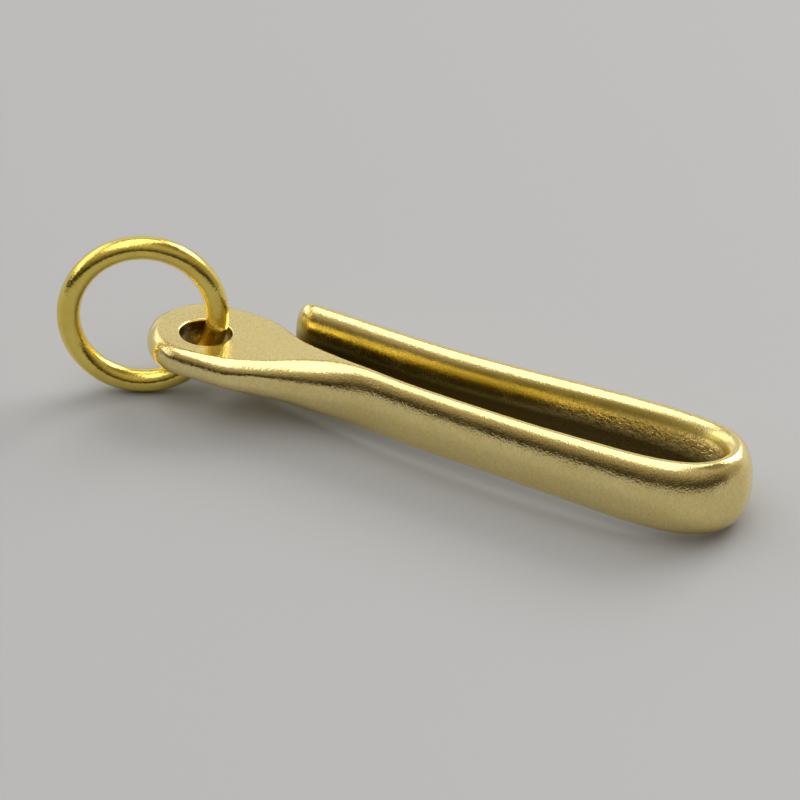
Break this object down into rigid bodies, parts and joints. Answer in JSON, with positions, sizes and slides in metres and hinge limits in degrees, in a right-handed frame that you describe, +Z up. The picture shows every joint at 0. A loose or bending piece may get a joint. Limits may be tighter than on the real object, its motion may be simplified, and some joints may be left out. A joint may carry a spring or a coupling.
{
  "type": "belt key clip",
  "caption": "Cast brass belt hook: a flattened bar bent into a long U with a flat eye at one end, and a round wire key ring that swings in the eye.",
  "frame": {"origin": "on the table, at the middle of the bottom of the whole object's box", "axes": "+Z up from the table, +X along the hook from the eye to the bend, +Y from the arm with the eye to the free arm"},
  "size_m": [0.0912, 0.0216, 0.0218],
  "materials": {
    "hook_brass": "cast and tumble polished, pale, satin on the eye plate",
    "ring_brass": "bright drawn wire, deeper yellow"
  },
  "bodies": {
    "hook": {"belt_hook": "hook_brass"},
    "ring": {"key_ring": "ring_brass"}
  },
  "joints": [
    {"name": "ring_swing", "type": "hinge", "parent": "hook", "child": "ring", "pos_m": [-0.02792, -0.00257, 0.00686], "axis": [0, 0.1045, 0.9945], "range_deg": [-134, 134]}
  ]
}
